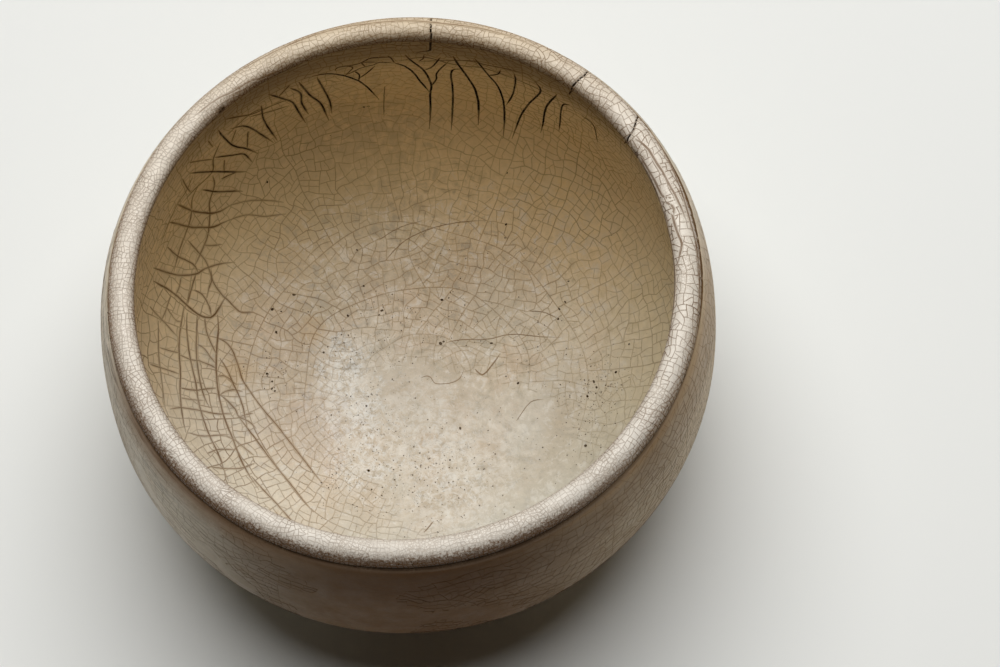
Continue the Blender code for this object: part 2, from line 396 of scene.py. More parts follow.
# Colours that the ones above are multiplied by in places
# Warmer and lighter far side inside: partly the glaze's tone, partly painted bounce light
FAR_WALL_TONE_AND_BOUNCE_LIGHT = rgb(1.21, 1.12, 0.89)
NEAR_RIGHT_TINT = rgb(0.95, 1.04, 1.14)
# Darker, warmer near right outside: partly the glaze's brown, partly painted shade
NEAR_RIGHT_OUTSIDE_SHADE_TINT = rgb(0.80, 0.69, 0.58)
# Lighter outside below the lip towards its outline: a painted sheen
LOW_OUTSIDE_SHEEN_TINT = rgb(1.30, 1.40, 1.50)

# Pale worn patches that the photograph shows, partly a painted sheen on the near floor: (azimuth, run,
# radius, how strong)
WORN_AND_SHEEN_PATCHES = ((158, 27, 7, 0.9), (180, 24, 8, 0.85), (205, 27, 10, 0.8), (232, 34, 9, 0.6),
                (262, 18, 16, 0.5), (310, 32, 16, 0.3), (285, 46, 14, 0.4))
# Broad changes of tone inside, the lighter ones on the left wall partly painted light: (azimuth, run, radius,
# colour that the glaze is multiplied by)
TONE_AND_LIGHT_PATCHES = (
    (128, 86, 42, rgb(0.87, 0.87, 0.87)), (108, 78, 22, rgb(0.94, 0.94, 0.94)),
    (22, 76, 26, rgb(1.06, 1.06, 1.06)), (300, 4, 20, rgb(0.91, 0.91, 0.91)),
    (50, 35, 18, rgb(0.93, 0.93, 0.93)), (350, 60, 26, rgb(0.95, 0.95, 0.95)),
    (203, 40, 12, rgb(0.91, 0.87, 0.85)), (220, 84, 26, rgb(1.15, 1.16, 1.18)),
    (186, 70, 16, rgb(1.06, 1.10, 1.18)), (154, 66, 16, rgb(1.06, 1.08, 1.14)),
    (34, 112, 30, rgb(1.02, 1.0, 0.93)), (50, 44, 26, rgb(1.03, 1.0, 0.93)),
)
OCHRE_SPOTS = ((150, 42, 4.0), (176, 62, 4.5), (228, 74, 6.0))


def inside_colour(where, run, x, y, cloudy, to_near_right):
    """The floor and inside wall: tan and cream clouds, mottling, spots, worn and toned patches, with painted
    sheen and light.
    """
    broad = grain(where, 16, 3, 0.55, 0.4)
    colour = mix(soft_step(broad, 0.40, 0.62), FLOOR_CREAM, FLOOR_TAN)
    colour = mix(times(soft_step(cloudy, 0.50, 0.72), 0.5), colour, GLAZE_PINK)
    colour = mix(times(soft_step(cloudy, 0.46, 0.30), 0.5), colour, GLAZE_GREY)
    wall_tone = mix(soft_step(x, 0.0, -0.07), WALL_TAN, LEFT_WALL_TAN)
    wall_tone = mix(soft_step(y, 0.0, -0.06), wall_tone, NEAR_WALL_CREAM)
    colour = mix(times(soft_step(run, 36, 92), 0.88), colour, wall_tone)
    # The far side of the inside warmed and lightened: partly tone, partly painted bounce light
    to_far = towards(where, (-0.35, 1, 0))
    colour = mix(soft_step(to_far, 0.01, 0.085), colour, FAR_WALL_TONE_AND_BOUNCE_LIGHT, "MULTIPLY")
    colour = mix(soft_step(to_near_right, 0.01, 0.06), colour, NEAR_RIGHT_TINT, "MULTIPLY")
    mottled = grain(where, 210, 5, 0.72, 0.5)
    on_floor = (run, 92, 60)
    colour = mix(times(all_of((mottled, 0.52, 0.64), on_floor), 0.34), colour, WORN_AND_SHEEN_PALE)
    colour = mix(times(all_of((mottled, 0.47, 0.35), on_floor), 0.30), colour, SPECKLE_GREY)
    gritty = all_of((grain(where, 1100, 4, 0.75), 0.44, 0.30), (run, 105, 50))
    colour = mix(times(gritty, 0.45), colour, SPECKLE_GREY)
    ragged = times(plus(mottled, -0.5), 3.4)
    for azimuth, place, radius in OCHRE_SPOTS:
        colour = mix(times(spot(where, azimuth, place, radius, ragged), 0.35), colour, OCHRE)
    scratched = soft_step(grain(where, 430, 6, 0.85, 0.8), 0.42, 0.58)
    # Pale patches: partly wear, partly a painted sheen of the lamp on the floor
    for azimuth, place, radius, share in WORN_AND_SHEEN_PATCHES:
        worn_and_sheen = times(spot(where, azimuth, place, radius, ragged), share, scratched)
        colour = mix(worn_and_sheen, colour, WORN_AND_SHEEN_PALE)
    # Broad tone patches; the lighter ones on the left wall are partly painted light
    for azimuth, place, radius, tint in TONE_AND_LIGHT_PATCHES:
        colour = mix(spot(where, azimuth, place, radius, ragged), colour, tint, "MULTIPLY")
    return colour


def outside_colour(where, run, x, y, cloudy, to_near_right):
    """The outside: grey, tan, streaked and ringed; painted light at the sides, painted shade and dirt to the
    viewer.
    """
    colour = mix(soft_step(cloudy, 0.35, 0.7), OUTSIDE_GREY, OUTSIDE_TAN)
    # The left and right sides of the outside painted paler: painted light
    colour = mix(soft_step(x, -0.035, -0.085), colour, SIDE_PAINTED_LIGHT)
    colour = mix(soft_step(x, 0.078, 0.098), colour, SIDE_PAINTED_LIGHT)
    # Brown towards the viewer: partly dirt, partly painted shade
    aside = add("Math", {0: x}, operation="ABSOLUTE").outputs[0]
    to_viewer = plus(y, times(aside, 0.35))
    colour = mix(times(soft_step(to_viewer, -0.035, -0.092), 0.92), colour, NEAR_OUTSIDE_DIRT_AND_SHADE)
    flattened = add("VectorMath", {0: where, 1: (1, 1, 9)}, operation="MULTIPLY").outputs[0]
    streaks = all_of((grain(flattened, 62, 5, 0.7, 0.5), 0.50, 0.66), (x, -0.055, -0.085),
                     (run, CREASE_RUN + 34, CREASE_RUN + 6))
    colour = mix(times(streaks, 0.75), colour, STREAK_DARK)
    turned_lines = soft_step(grain(flattened, 190, 3, 0.6), 0.42, 0.62)
    colour = mix(times(turned_lines, 0.16), colour, STREAK_DARK)
    # The near right outside darkened: partly brown glaze, partly painted shade
    colour = mix(soft_step(to_near_right, 0.03, 0.078), colour, NEAR_RIGHT_OUTSIDE_SHADE_TINT, "MULTIPLY")
    # A painted sheen lightening the outside below the lip, in the middle and on the right
    low_painted_sheen = all_of((run, CREASE_RUN + 12, CREASE_RUN + 34), (x, -0.06, -0.01))
    return mix(low_painted_sheen, colour, LOW_OUTSIDE_SHEEN_TINT, "MULTIPLY")


def lip_colour(colour, where, run, x, y, to_near_right):
    """The pale lip laid on the colour, with its worn brown edges, the stains beside them and painted shade.
    """
    on_lip = all_of((run, MOUTH_RUN - 3.5, MOUTH_RUN + 2.0), (run, CREASE_RUN - 0.5, CREASE_RUN - 3.5))
    lip_tone = mix(soft_step(y, 0.05, 0.094), LIP_WHITE, FAR_LIP_TAN)
    colour = mix(times(on_lip, 0.9), colour, lip_tone)
    edge_noise = times(plus(grain(where, 1200, 4, 0.8), -0.5), 13.0)
    ragged_run = plus(run, edge_noise)
    edge_run = plus(ragged_run, remap(to_near_right, -0.06, 0.03, 0.0, -0.8))
    worn_edge = all_of((edge_run, CREASE_RUN - 7.0, CREASE_RUN - 1.0),
                       (run, CREASE_RUN + 1.2, CREASE_RUN + 0.2))
    edge_share = remap(y, 0.0, 0.07, 0.90, 0.45)
    low_right = all_of((x, 0.035, 0.075), (y, 0.01, -0.03))
    kept = remap(low_right, 0.0, 1.0, 1.0, 0.45)
    colour = mix(times(worn_edge, edge_share, kept), colour, LIP_BROWN)
    under_lip = all_of((ragged_run, CREASE_RUN + 15.0, CREASE_RUN + 3.0),
                       (run, CREASE_RUN - 1.0, CREASE_RUN + 1.0), (x, -0.015, -0.06), (y, -0.01, -0.05))
    colour = mix(times(under_lip, 0.55), colour, LIP_BROWN)
    golden = all_of((ragged_run, CREASE_RUN - 5.5, CREASE_RUN - 1.5),
                    (run, CREASE_RUN + 6.0, CREASE_RUN + 1.0))
    colour = mix(times(golden, low_right, 0.6), colour, GOLDEN_BROWN)
    # Near lip's outer edge browned: partly dirt, partly painted shade
    near_edge_dirt_and_shade = all_of((ragged_run, CREASE_RUN - 6.4, CREASE_RUN - 3.2),
                       (run, CREASE_RUN + 4.0, CREASE_RUN + 0.5), (y, -0.01, -0.06))
    colour = mix(times(near_edge_dirt_and_shade, 0.88, kept), colour, NEAR_EDGE_DIRT_AND_SHADE)
    # Under the far lip: partly stain, partly painted shade
    far_stain_and_shade = all_of((ragged_run, MOUTH_RUN + 5.2, MOUTH_RUN + 0.6),
                       (run, MOUTH_RUN - 40, MOUTH_RUN - 19), (y, 0.03, 0.075))
    colour = mix(times(far_stain_and_shade, 0.80), colour, FAR_STAIN_AND_SHADE)
    inner_edge = all_of((ragged_run, MOUTH_RUN + 3.4, MOUTH_RUN - 0.8), (run, MOUTH_RUN - 5, MOUTH_RUN - 1.5))
    inner_share = remap(x, 0.03, -0.06, 0.35, 0.62)
    colour = mix(times(inner_edge, inner_share), colour, LIP_BROWN)
    # A dark line along the crease: painted shade
    from_crease = add("Math", {0: plus(run, -CREASE_RUN)}, operation="ABSOLUTE").outputs[0]
    crease_shade = times(soft_step(from_crease, 1.5, 0.4), 0.8, kept)
    return mix(crease_shade, colour, CREASE_PAINTED_SHADE)


def glaze_colour():
    """The glaze's colour everywhere on the pot, from its run and Object coordinates."""
    where = add("TexCoord").outputs["Object"]
    run = add("Attribute", attribute_name="run").outputs["Fac"]
    x, y = add("SeparateXYZ", {0: where}).outputs[:2]
    cloudy = grain(where, 55, 4, 0.6, 0.6)
    to_near_right = towards(where, (0.7, -0.7, 0))
    inside = inside_colour(where, run, x, y, cloudy, to_near_right)
    outside = outside_colour(where, run, x, y, cloudy, to_near_right)
    colour = mix(soft_step(run, CREASE_RUN - 1.5, CREASE_RUN + 3), inside, outside)
    colour = lip_colour(colour, where, run, x, y, to_near_right)
    tone = remap(grain(where, 420, 3, 0.6), 0.3, 0.7, 0.93, 1.05)
    return mix(1.0, colour, tone, "MULTIPLY"), where, run


def glaze_material():
    material, shader = start_material("crazed_glaze")
    colour, where, run = glaze_colour()
    reticle = add("TexVoronoi", {"Vector": where, "Scale": 1050.0}, feature="DISTANCE_TO_EDGE")
    net = all_of((reticle.outputs["Distance"], 0.12, 0.03), (run, MOUTH_RUN - 6, MOUTH_RUN + 1),
                 (run, CREASE_RUN + 4, CREASE_RUN - 2), (grain(where, 90, 3), 0.38, 0.62))
    colour = mix(times(net, 0.5), colour, LIP_NET_BROWN)
    rough = remap(grain(where, 130, 4, 0.65), 0.3, 0.7, 0.34, 0.62)
    sheen = remap(run, CREASE_RUN - 2, CREASE_RUN + 2, 0.42, 0.05)
    bump = add("Bump", {"Height": grain(where, 900, 3, 0.7), "Strength": 0.25, "Distance": 0.00035})
    fill(shader, {"Base Color": colour, "Roughness": rough, "Specular IOR Level": sheen,
                  "Normal": bump.outputs["Normal"]})
    return material


def dirt_material():
    """Dirt in cracks and pits: the glaze's own colour, the darker the attribute says, going to brown."""
    material, shader = start_material("dirt_in_crazing")
    colour, where, _ = glaze_colour()
    dark = add("Attribute", attribute_name="dark").outputs["Fac"]
    uneven = remap(grain(where, 140, 3, 0.6), 0.3, 0.7, 0.8, 1.15)
    brown = mix(soft_step(dark, 0.78, 1.0), DIRT_BROWN, DIRT_BLACK)
    fill(shader, {"Base Color": mix(times(dark, uneven), colour, brown), "Roughness": 0.8,
                  "Specular IOR Level": 0.1})
    return material


# The pot itself

def glazed_bowl():
    """The section turned about Z, eased out of round, with faint throwing rings."""
    outline = bmesh.new()
    corners = [outline.verts.new((r * MM, 0, z * MM)) for r, z in SECTION]
    for pair in zip(corners, corners[1:]):
        outline.edges.new(pair)
    bowl = new_piece("glazed_bowl", as_mesh("glazed_bowl", outline))
    turned = bowl.modifiers.new("turned", "SCREW")
    turned.steps = turned.render_steps = TURN_STEPS
    turned.use_merge_vertices = True
    turned.merge_threshold = 0.00001
    settle(bowl)
    places = coordinates(bowl.data) / MM
    r, azimuth = np.hypot(places[:, 0], places[:, 1]), np.arctan2(places[:, 1], places[:, 0])
    run = nearest_run(r, places[:, 2])
    rings = 0.5 + 0.3 * np.sin(run / 1.9 + 0.6 * np.sin(azimuth)) + 0.2 * np.sin(run / 0.83 + 2.0)
    on_wall = np.clip((run - 20) / 20, 0, 1) * np.clip((FOOT_RUN - run) / 6, 0, 1)
    off_lip = np.clip(np.abs(run - (MOUTH_RUN + CREASE_RUN) / 2) / 12, 0, 1)
    surface, _ = on_pot(azimuth, run, -0.09 * rings * on_wall * off_lip)
    middle = r < 0.01
    surface[middle] = places[middle] * MM
    bowl.data.vertices.foreach_set("co", surface.astype(np.float32).ravel())
    bowl.data.update()
    return bowl


def settle(piece):
    """Applies the piece's modifiers to its mesh."""
    bpy.context.view_layer.update()
    depsgraph = bpy.context.evaluated_depsgraph_get()
    mesh = bpy.data.meshes.new_from_object(piece.evaluated_get(depsgraph))
    piece.modifiers.clear()
    old, piece.data = piece.data, mesh
    bpy.data.meshes.remove(old)


def finish_bowl(mesh):
    """Gives every corner its run and smooths the faces."""
    places = coordinates(mesh) / MM
    store(mesh, "run", nearest_run(np.hypot(places[:, 0], places[:, 1]), places[:, 2]))
    store(mesh, "dark", np.full(len(places), 0.95))
    mesh.shade_smooth()


def nearest_run(r, z):
    """The run of each (radius, height) in millimetres: of the section's corner that is nearest."""
    found = np.empty(len(r))
    for start in range(0, len(r), 4000):
        rows = slice(start, start + 4000)
        gap = (r[rows, None] - SECTION[:, 0]) ** 2 + (z[rows, None] - SECTION[:, 1]) ** 2
        found[rows] = RUN[np.argmin(gap, axis=1)]
    return found


def coordinates(mesh):
    flat = np.empty(len(mesh.vertices) * 3, np.float32)
    mesh.vertices.foreach_get("co", flat)
    return flat.reshape(-1, 3).astype(float)


def store(mesh, name, values):
    attribute = mesh.attributes.new(name, "FLOAT", "POINT")
    attribute.data.foreach_set("value", np.asarray(values, np.float32))


# Crazing: cells of glaze that split again and again, each new crack ending square on an older one.
# A cell's corners are (azimuth in radians, run) on the walls and flat (x, y) on the floor.

def wall_frame(cell):
    """A wall cell's corners in millimetres round its middle, and that middle."""
    azimuth = sum(a for a, _ in cell) / len(cell)
    run = sum(r for _, r in cell) / len(cell)
    round_about = max(radius_at(run), 1.0)
    flat = [((a - azimuth) * round_about, r - run) for a, r in cell]
    return flat, lambda p: (azimuth + p[0] / round_about, run + p[1]), math.degrees(azimuth) % 360, run


def floor_frame(cell):
    x = sum(p[0] for p in cell) / len(cell)
    y = sum(p[1] for p in cell) / len(cell)
    flat = [(p[0] - x, p[1] - y) for p in cell]
    return flat, lambda p: (p[0] + x, p[1] + y), math.degrees(math.atan2(y, x)) % 360, math.hypot(x, y)


def cell_shape(flat):
    """Area, middle, and the direction in which to split a cell: along its sides, across its long way."""
    area = mx = my = xx = yy = xy = 0.0
    sides = 0j
    for (x0, y0), (x1, y1) in zip(flat, flat[1:] + flat[:1]):
        turn = x0 * y1 - x1 * y0
        side = complex(x1 - x0, y1 - y0)
        sides += side ** 4 / max(abs(side), 0.001) ** 3
        area += turn / 2
        mx += (x0 + x1) * turn / 6
        my += (y0 + y1) * turn / 6
        xx += (x0 * x0 + x0 * x1 + x1 * x1) * turn / 12
        yy += (y0 * y0 + y0 * y1 + y1 * y1) * turn / 12
        xy += (x0 * y1 + 2 * x0 * y0 + 2 * x1 * y1 + x1 * y0) * turn / 24
    if abs(area) < 0.05:
        return 0.0, (0, 0), 0.0
    mx, my = mx / area, my / area
    xx, yy, xy = xx / area - mx * mx, yy / area - my * my, xy / area - mx * my
    across = math.atan2(2 * xy, xx - yy) / 2 + math.pi / 2
    lined_up = cmath.phase(sides) / 4
    lined_up += round((across - lined_up) / (math.pi / 2)) * math.pi / 2
    return abs(area), (mx, my), lined_up


def square_off(flat, side, dx, dy, share):
    """How far a crack along (dx, dy) should veer to meet a cell's side squarely, as a slope."""
    (x0, y0), (x1, y1) = flat[side - 1], flat[(side + 2) % len(flat)]
    nx, ny = y1 - y0, x0 - x1
    if nx * dx + ny * dy < 0:
        nx, ny = -nx, -ny
    ahead, aside = nx * dx + ny * dy, ny * dx - nx * dy
    return share * max(-0.9, min(0.9, aside / max(ahead, 0.01)))


def crack_across(flat, through, direction, rng, waviness, step=1.5):
    """Splits a flat cell by a wavering crack. Gives the crack and the two new cells, or None."""
    dx, dy = math.cos(direction), math.sin(direction)
    px, py = through
    sides = [dx * (y - py) - dy * (x - px) for x, y in flat]
    before, after = None, None
    count = len(flat)
    for i in range(count):
        j = (i + 1) % count
        if (sides[i] > 0) == (sides[j] > 0):
            continue
        share = sides[i] / (sides[i] - sides[j])
        x = flat[i][0] + (flat[j][0] - flat[i][0]) * share
        y = flat[i][1] + (flat[j][1] - flat[i][1]) * share
        reach = (x - px) * dx + (y - py) * dy
        if reach < 0 and (before is None or reach > before[0]):
            before = (reach, i, (x, y))
        if reach >= 0 and (after is None or reach < after[0]):
            after = (reach, i, (x, y))
    if before is None or after is None or before[1] == after[1]:
        return None
    length = after[0] - before[0]
    steps = max(3, round(length / step))
    leave, arrive = (square_off(flat, end[1], dx, dy, min(0.85, 9 / length)) for end in (before, after))
    seed = rng.uniform(0, 900)
    crack = [before[2]]
    for k in range(1, steps):
        u = k / steps
        pinned = min(1.0, 5 * u * (1 - u)) * min(2.2, length / 9) * waviness
        off = length * (leave * u * (1 - u) ** 2 - arrive * u * u * (1 - u))
        slow, quick = noise.noise((seed + length * u / 11, 0, 0)), noise.noise((seed, length * u / 3.5, 0))
        off += pinned * (1.1 * slow + 0.3 * quick)
        reach = before[0] + length * u
        crack.append((px + dx * reach - dy * off, py + dy * reach + dx * off))
    crack.append(after[2])
    first, second = list(crack), crack[::-1]
    k = (after[1] + 1) % count
    while k != (before[1] + 1) % count:
        first.append(flat[k])
        k = (k + 1) % count
    while k != (after[1] + 1) % count:
        second.append(flat[k])
        k = (k + 1) % count
    return crack, first, second


def craze(cells, frame_of, cell_area, rng, waviness=1.35, sway=12.0, step=1.5):
    """Splits cells of glaze until each has about the area that cell_area gives for its place."""
    waiting, cracks = list(cells), []
    while waiting:
        flat, back, azimuth, run = frame_of(waiting.pop())
        area, middle, split_along = cell_shape(flat)
        if area < cell_area(azimuth, run) * rng.uniform(0.8, 1.6):
            continue
        size = math.sqrt(area)
        aside = 0.13 if size > 15 else 0.05
        split = None
        for _ in range(12):
            through = (middle[0] + rng.gauss(0, aside) * size, middle[1] + rng.gauss(0, aside) * size)
            turn = math.radians(rng.gauss(0, sway))
            split = split or crack_across(flat, through, split_along + turn, rng, waviness, step)
        if split is None:
            continue
        crack, first, second = split
        length = sum(math.dist(a, b) for a, b in zip(crack, crack[1:]))
        cracks.append(([back(p) for p in crack], length))
        waiting += [[back(p) for p in first], [back(p) for p in second]]
    return cracks


def wavy_ring(run, wobble, rng):
    """A line all the way round the pot near one run, as a function of azimuth in radians."""
    phases = [rng.uniform(0, 2 * math.pi) for _ in range(4)]
    return lambda azimuth: run + wobble * sum(
        math.sin((2 * i + 2) * azimuth + phase) / (i + 1.5) for i, phase in enumerate(phases))


def border(ring, start, end):
    """Points on a ring between two azimuths, without the ends."""
    steps = max(2, round(abs(end - start) / math.radians(1.5)))
    turns = [start + (end - start) * k / steps for k in range(1, steps)]
    return [(turn, ring(turn)) for turn in turns]


def band(low, high, count, rng, step=2.5):
    """The pot between two rings, parted into cells by wavering spokes, and those spokes as cracks."""
    spokes = []
    for k in range(count):
        azimuth = 2 * math.pi * (k + rng.uniform(-0.3, 0.3)) / count
        sweep = 2 * math.pi / count
        end = azimuth + rng.gauss(0, 0.12) * sweep
        bow, seed = rng.gauss(0, 0.12) * sweep, rng.uniform(0, 900)
        steps = max(2, round((high(end) - low(azimuth)) / step))
        spoke = []
        for i in range(steps + 1):
            u = i / steps
            run = low(azimuth) + (high(end) - low(azimuth)) * u
            waver = math.sin(math.pi * u) * (bow + 0.022 * noise.noise((seed + run / 9, 0, 0)))
            spoke.append((azimuth + (end - azimuth) * u + waver, run))
        spokes.append(spoke)
    cells = []
    for k in range(count):
        here = spokes[k]
        ahead = spokes[k + 1] if k + 1 < count else [(a + 2 * math.pi, r) for a, r in spokes[0]]
        top, bottom = border(high, here[-1][0], ahead[-1][0]), border(low, ahead[0][0], here[0][0])
        cells.append(here + top + ahead[::-1] + bottom)
    return cells, [(spoke, spoke[-1][1] - spoke[0][1]) for spoke in spokes]


def whole_ring(ring):
    return ([(math.radians(a * 1.5), ring(math.radians(a * 1.5))) for a in range(241)], 200.0)


def patchiness(azimuth, run, size, seed):
    """Slow change over the pot, from about 0 to 1, the same each time."""
    at = min(int(run * 2), len(RADIUS_TABLE) - 1)
    r, z = RADIUS_TABLE[at] / size, HEIGHT_TABLE[at] / size
    wave = noise.noise((r * math.cos(azimuth) + seed, r * math.sin(azimuth), z))
    return min(1.0, max(0.0, 0.5 + 0.75 * wave))


def nearness(azimuth, centre, spread):
    """1 at one azimuth in degrees, falling to 0 at spread degrees from it."""
    gap = abs((azimuth - centre + 180) % 360 - 180)
    return max(0.0, 1 - gap / spread)


def ramp(value, low, high):
    return min(1.0, max(0.0, (value - low) / (high - low)))


def dirt_lines(name, cracks, style, material, lift=0.02, depth=0.10):
    """Every crack as a thin strip of dirt let into the glaze.

    Style gives each point's width in millimetres and its darkness, from the crack's length, the
    azimuth in radians and the run. A crack is left out where its width is nothing.
    """
    azimuths, runs, widths, darks, stretches = [], [], [], [], []
    for points, length in cracks:
        start = len(azimuths)
        for k, (azimuth, run) in enumerate(points):
            width, dark = style(length, azimuth, run, k / (len(points) - 1))
            if width <= 0.03:
                if len(azimuths) - start > 1:
                    stretches.append((start, len(azimuths)))
                start = len(azimuths)
                continue
            azimuths.append(azimuth)
            runs.append(run)
            widths.append(width)
            darks.append(dark)
        if len(azimuths) - start > 1:
            stretches.append((start, len(azimuths)))
    places, outward = on_pot(np.array(azimuths), np.array(runs), lift)
    along = np.ones_like(places)
    for start, end in stretches:
        along[start:end] = np.gradient(places[start:end], axis=0)
    sideways = np.cross(outward, along)
    sideways /= np.maximum(np.linalg.norm(sideways, axis=1), 1e-12)[:, None]
    sideways *= (np.array(widths) / 2 * MM)[:, None]
    left, right, sunk = places - sideways, places + sideways, outward * depth * MM
    net = bmesh.new()
    number = net.verts.layers.int.new("number")
    edges = []
    for start, end in stretches:
        previous = None
        for k in range(start, end):
            vertex = net.verts.new(left[k])
            vertex[number] = k
            if previous is not None:
                edges.append(net.edges.new((previous, vertex)))
            previous = vertex
    for vertex in corners_of(bmesh.ops.extrude_edge_only(net, edges=edges)):
        vertex.co = right[vertex[number]]
    for vertex in corners_of(bmesh.ops.extrude_face_region(net, geom=net.faces[:])):
        vertex.co -= Vector(sunk[vertex[number]])
    bmesh.ops.recalc_face_normals(net, faces=net.faces)
    numbers = [vertex[number] for vertex in net.verts]
    mesh = as_mesh(name, net)
    mesh.attributes.remove(mesh.attributes["number"])
    store(mesh, "run", [runs[k] for k in numbers])
    store(mesh, "dark", [darks[k] for k in numbers])
    return new_piece(name, mesh, material)


# Fine crazing

def inside_cell_area(azimuth, run):
    """Square millimetres of a cell inside: larger on the left wall, a little smaller to the viewer."""
    near = nearness(azimuth, 240, 110) * ramp(run, 5, 20)
    left = nearness(azimuth, 178, 45) * ramp(run, 70, 85)
    return 13.5 - 2.0 * near + 5.0 * left


# Where the crazing shows less or more than elsewhere: (azimuth, run, reach, change)
CRAZING_CHANGES = ((312, 40, 64, -0.95), (235, 14, 42, -0.85), (92, 122, 50, -0.8), (135, 118, 26, -0.5),
                   (213, 68, 36, 0.6), (55, 92, 36, 0.55), (122, 84, 30, 0.4), (90, 68, 44, -0.2))


def inside_style(length, azimuth, run, u):
    degrees = math.degrees(azimuth) % 360
    age = min(1.0, length / 26)
    x, y = run * math.cos(azimuth), run * math.sin(azimuth)
    shown = 0.3 + 0.7 * ramp(MOUTH_RUN - run, 12, 28)
    for middle, out, reach, change in CRAZING_CHANGES:
        turn = math.radians(middle)
        gap = math.hypot(x - out * math.cos(turn), y - out * math.sin(turn)) / reach
        shown *= 1 + change * min(1.0, 1.7 * max(0.0, 1 - gap))
    among_brown = min(1.0, 1.6 * nearness(degrees, 184, 40) * ramp(run, 42, 62) * ramp(run, 116, 100))
    medium = ramp(length, 5, 13) * among_brown
    shown *= (1 - 0.25 * among_brown) * (0.55 + 0.8 * patchiness(azimuth, run, 17, 3.7))
    if shown < 0.14:
        return 0.0, 0.0
    left = nearness(degrees, 190, 70) * ramp(run, 52, 72)
    width = 0.23 + 0.05 * age + 0.05 * min(1.0, shown) + 0.08 * medium
    dark = (0.25 + 0.08 * age + 0.12 * left + 0.13 * medium) * min(1.3, 0.25 + 0.85 * shown)
    return width, min(0.75, dark)


def lip_cell_area(azimuth, run):
    return 2.8 + 7.0 * nearness(azimuth, 15, 62) + 2.6 * nearness(azimuth, 90, 45)


def lip_style(length, azimuth, run, u):
    degrees = math.degrees(azimuth) % 360
    edge = ramp(abs(run - (MOUTH_RUN + 6.5)), 2.5, 6.5)
    patch = patchiness(azimuth, run, 7, 1.3)
    near = nearness(degrees, 275, 60)
    right = nearness(degrees, 15, 62)
    dark = 0.34 + 0.26 * patch + 0.2 * edge + 0.22 * right - 0.2 * near
    return 0.20 + 0.06 * patch + 0.04 * edge + 0.07 * right, dark


def outside_cell_area(azimuth, run):
    return 15


def outside_style(length, azimuth, run, u):
    patch = patchiness(azimuth, run, 20, 8.1)
    near = nearness(math.degrees(azimuth) % 360, 262, 70)
    right = nearness(math.degrees(azimuth) % 360, 325, 60)
    shown = patch * (0.75 - 0.62 * near) + 0.25 * right
    if shown < 0.16:
        return 0.0, 0.0
    return 0.13 + 0.05 * patch, 0.08 + 0.34 * shown + 0.16 * right


def far_and_near(cracks):
    """The cracks on the far half of the pot and on the near half, so no piece is too heavy."""
    far = [crack for crack in cracks if math.sin(crack[0][len(crack[0]) // 2][0]) > 0]
    near = [crack for crack in cracks if math.sin(crack[0][len(crack[0]) // 2][0]) <= 0]
    return far, near


def fine_crazing(dirt):
    rng = random.Random(20)
    inner_ring = wavy_ring(19, 1.2, rng)
    floor_ring = wavy_ring(38, 2.2, rng)
    middle_ring = wavy_ring(58, 2.6, rng)
    mouth_ring = wavy_ring(MOUTH_RUN - 5, 0.5, rng)
    crease_ring = wavy_ring(CREASE_RUN - 0.1, 0.0, rng)
    below_crease = wavy_ring(CREASE_RUN + 0.6, 0.0, rng)
    foot_ring = wavy_ring(FOOT_RUN - 2, 0.0, rng)
    floor = [[(math.radians(a), inner_ring(math.radians(a))) for a in range(0, 360, 5)]]
    inside = [whole_ring(inner_ring), whole_ring(floor_ring), whole_ring(middle_ring)]
    for low, high, count in ((inner_ring, floor_ring, 5), (floor_ring, middle_ring, 8)):
        cells, spokes = band(low, high, count, rng)
        floor += cells
        inside += spokes
    flat_floor = [[(run * math.cos(a), run * math.sin(a)) for a, run in cell] for cell in floor]
    for points, length in craze(flat_floor, floor_frame, inside_cell_area, rng):
        inside.append(([(math.atan2(y, x), math.hypot(x, y)) for x, y in points], length))
    wall, spokes = band(middle_ring, mouth_ring, 15, rng)
    inside += craze(wall, wall_frame, inside_cell_area, rng) + spokes
    lip, spokes = band(mouth_ring, crease_ring, 76, rng, 0.55)
    on_lip = craze(lip, wall_frame, lip_cell_area, rng, 1.2, 14.0, 0.55) + spokes + [whole_ring(mouth_ring)]
    outer, spokes = band(below_crease, foot_ring, 15, rng)
    outside = craze(outer, wall_frame, outside_cell_area, rng) + spokes
    far, near = far_and_near(inside)
    far_outside, near_outside = far_and_near(outside)
    return [dirt_lines("fine_crazing_inside_far", far, inside_style, dirt),
            dirt_lines("fine_crazing_inside_near", near, inside_style, dirt),
            dirt_lines("fine_crazing_on_lip", on_lip, lip_style, dirt, lift=0.03),
            dirt_lines("fine_crazing_outside_far", far_outside, outside_style, dirt),
            dirt_lines("fine_crazing_outside_near", near_outside, outside_style, dirt)]


# Open cracks and crazing placed one by one, as the photograph shows them

